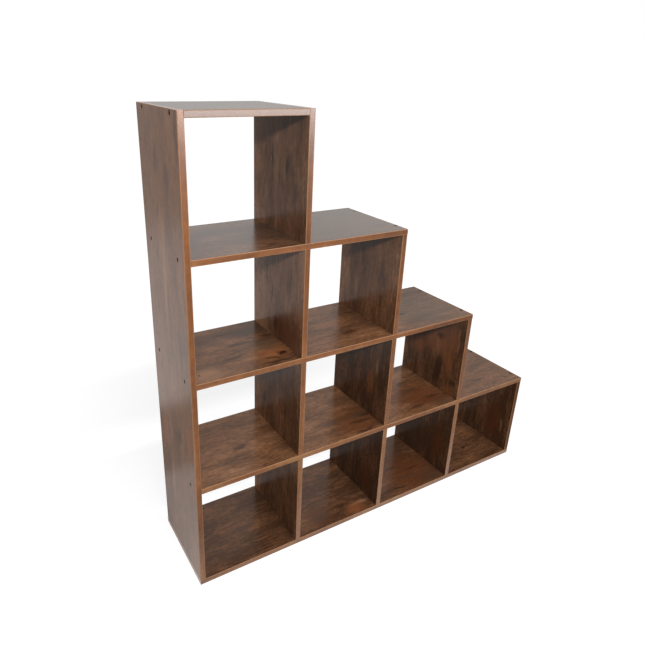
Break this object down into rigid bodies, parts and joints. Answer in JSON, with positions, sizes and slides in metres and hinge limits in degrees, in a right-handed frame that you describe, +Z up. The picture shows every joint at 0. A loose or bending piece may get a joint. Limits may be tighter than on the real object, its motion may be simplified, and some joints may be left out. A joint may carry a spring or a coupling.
{
  "type": "staircase bookshelf",
  "caption": "Free-standing open bookshelf of wood-print laminated boards, with columns of square cubes that step down like a staircase from one side to the other.",
  "frame": {"origin": "middle of the underside, on the floor", "axes": "+Z up; the front faces -Y; the tall column stands at -X and the steps go down towards +X"},
  "size_m": [1.3, 0.29, 1.316],
  "materials": {
    "laminate": "rustic brown wood-print melamine on particle board, semi-gloss",
    "black_steel": "black zinc, satin",
    "beech": "plain beech, turned, unfinished"
  },
  "bodies": {
    "root": {"bottom_panel": "laminate", "left_side_panel": "laminate", "top_panel": "laminate", "shelf_level_1": "laminate", "shelf_level_2": "laminate", "shelf_level_3": "laminate", "divider_tier_1_column_1": "laminate", "divider_tier_1_column_2": "laminate", "divider_tier_1_column_3": "laminate", "end_panel_tier_1": "laminate", "divider_tier_2_column_1": "laminate", "divider_tier_2_column_2": "laminate", "end_panel_tier_2": "laminate", "divider_tier_3_column_1": "laminate", "end_panel_tier_3": "laminate", "end_panel_tier_4": "laminate", "side_screw_level_1_front": "black_steel", "side_screw_level_2_front": "black_steel", "side_screw_level_3_front": "black_steel", "side_screw_level_4_front": "black_steel", "top_screw_front": "black_steel", "step_screw_level_1_front": "black_steel", "step_screw_level_2_front": "black_steel", "step_screw_level_3_front": "black_steel", "base_screw_column_0_front": "black_steel", "base_screw_column_1_front": "black_steel", "base_screw_column_2_front": "black_steel", "base_screw_column_3_front": "black_steel", "base_screw_column_4_front": "black_steel", "side_screw_level_1_back": "black_steel", "side_screw_level_2_back": "black_steel", "side_screw_level_3_back": "black_steel", "side_screw_level_4_back": "black_steel", "top_screw_back": "black_steel", "step_screw_level_1_back": "black_steel", "step_screw_level_2_back": "black_steel", "step_screw_level_3_back": "black_steel", "base_screw_column_0_back": "black_steel", "base_screw_column_1_back": "black_steel", "base_screw_column_2_back": "black_steel", "base_screw_column_3_back": "black_steel", "base_screw_column_4_back": "black_steel", "dowel_level_1_column_1_front": "beech", "dowel_level_1_column_2_front": "beech", "dowel_level_1_column_3_front": "beech", "dowel_level_2_column_1_front": "beech", "dowel_level_2_column_2_front": "beech", "dowel_level_3_column_1_front": "beech", "dowel_level_1_column_1_back": "beech", "dowel_level_1_column_2_back": "beech", "dowel_level_1_column_3_back": "beech", "dowel_level_2_column_1_back": "beech", "dowel_level_2_column_2_back": "beech", "dowel_level_3_column_1_back": "beech"}
  },
  "joints": []
}
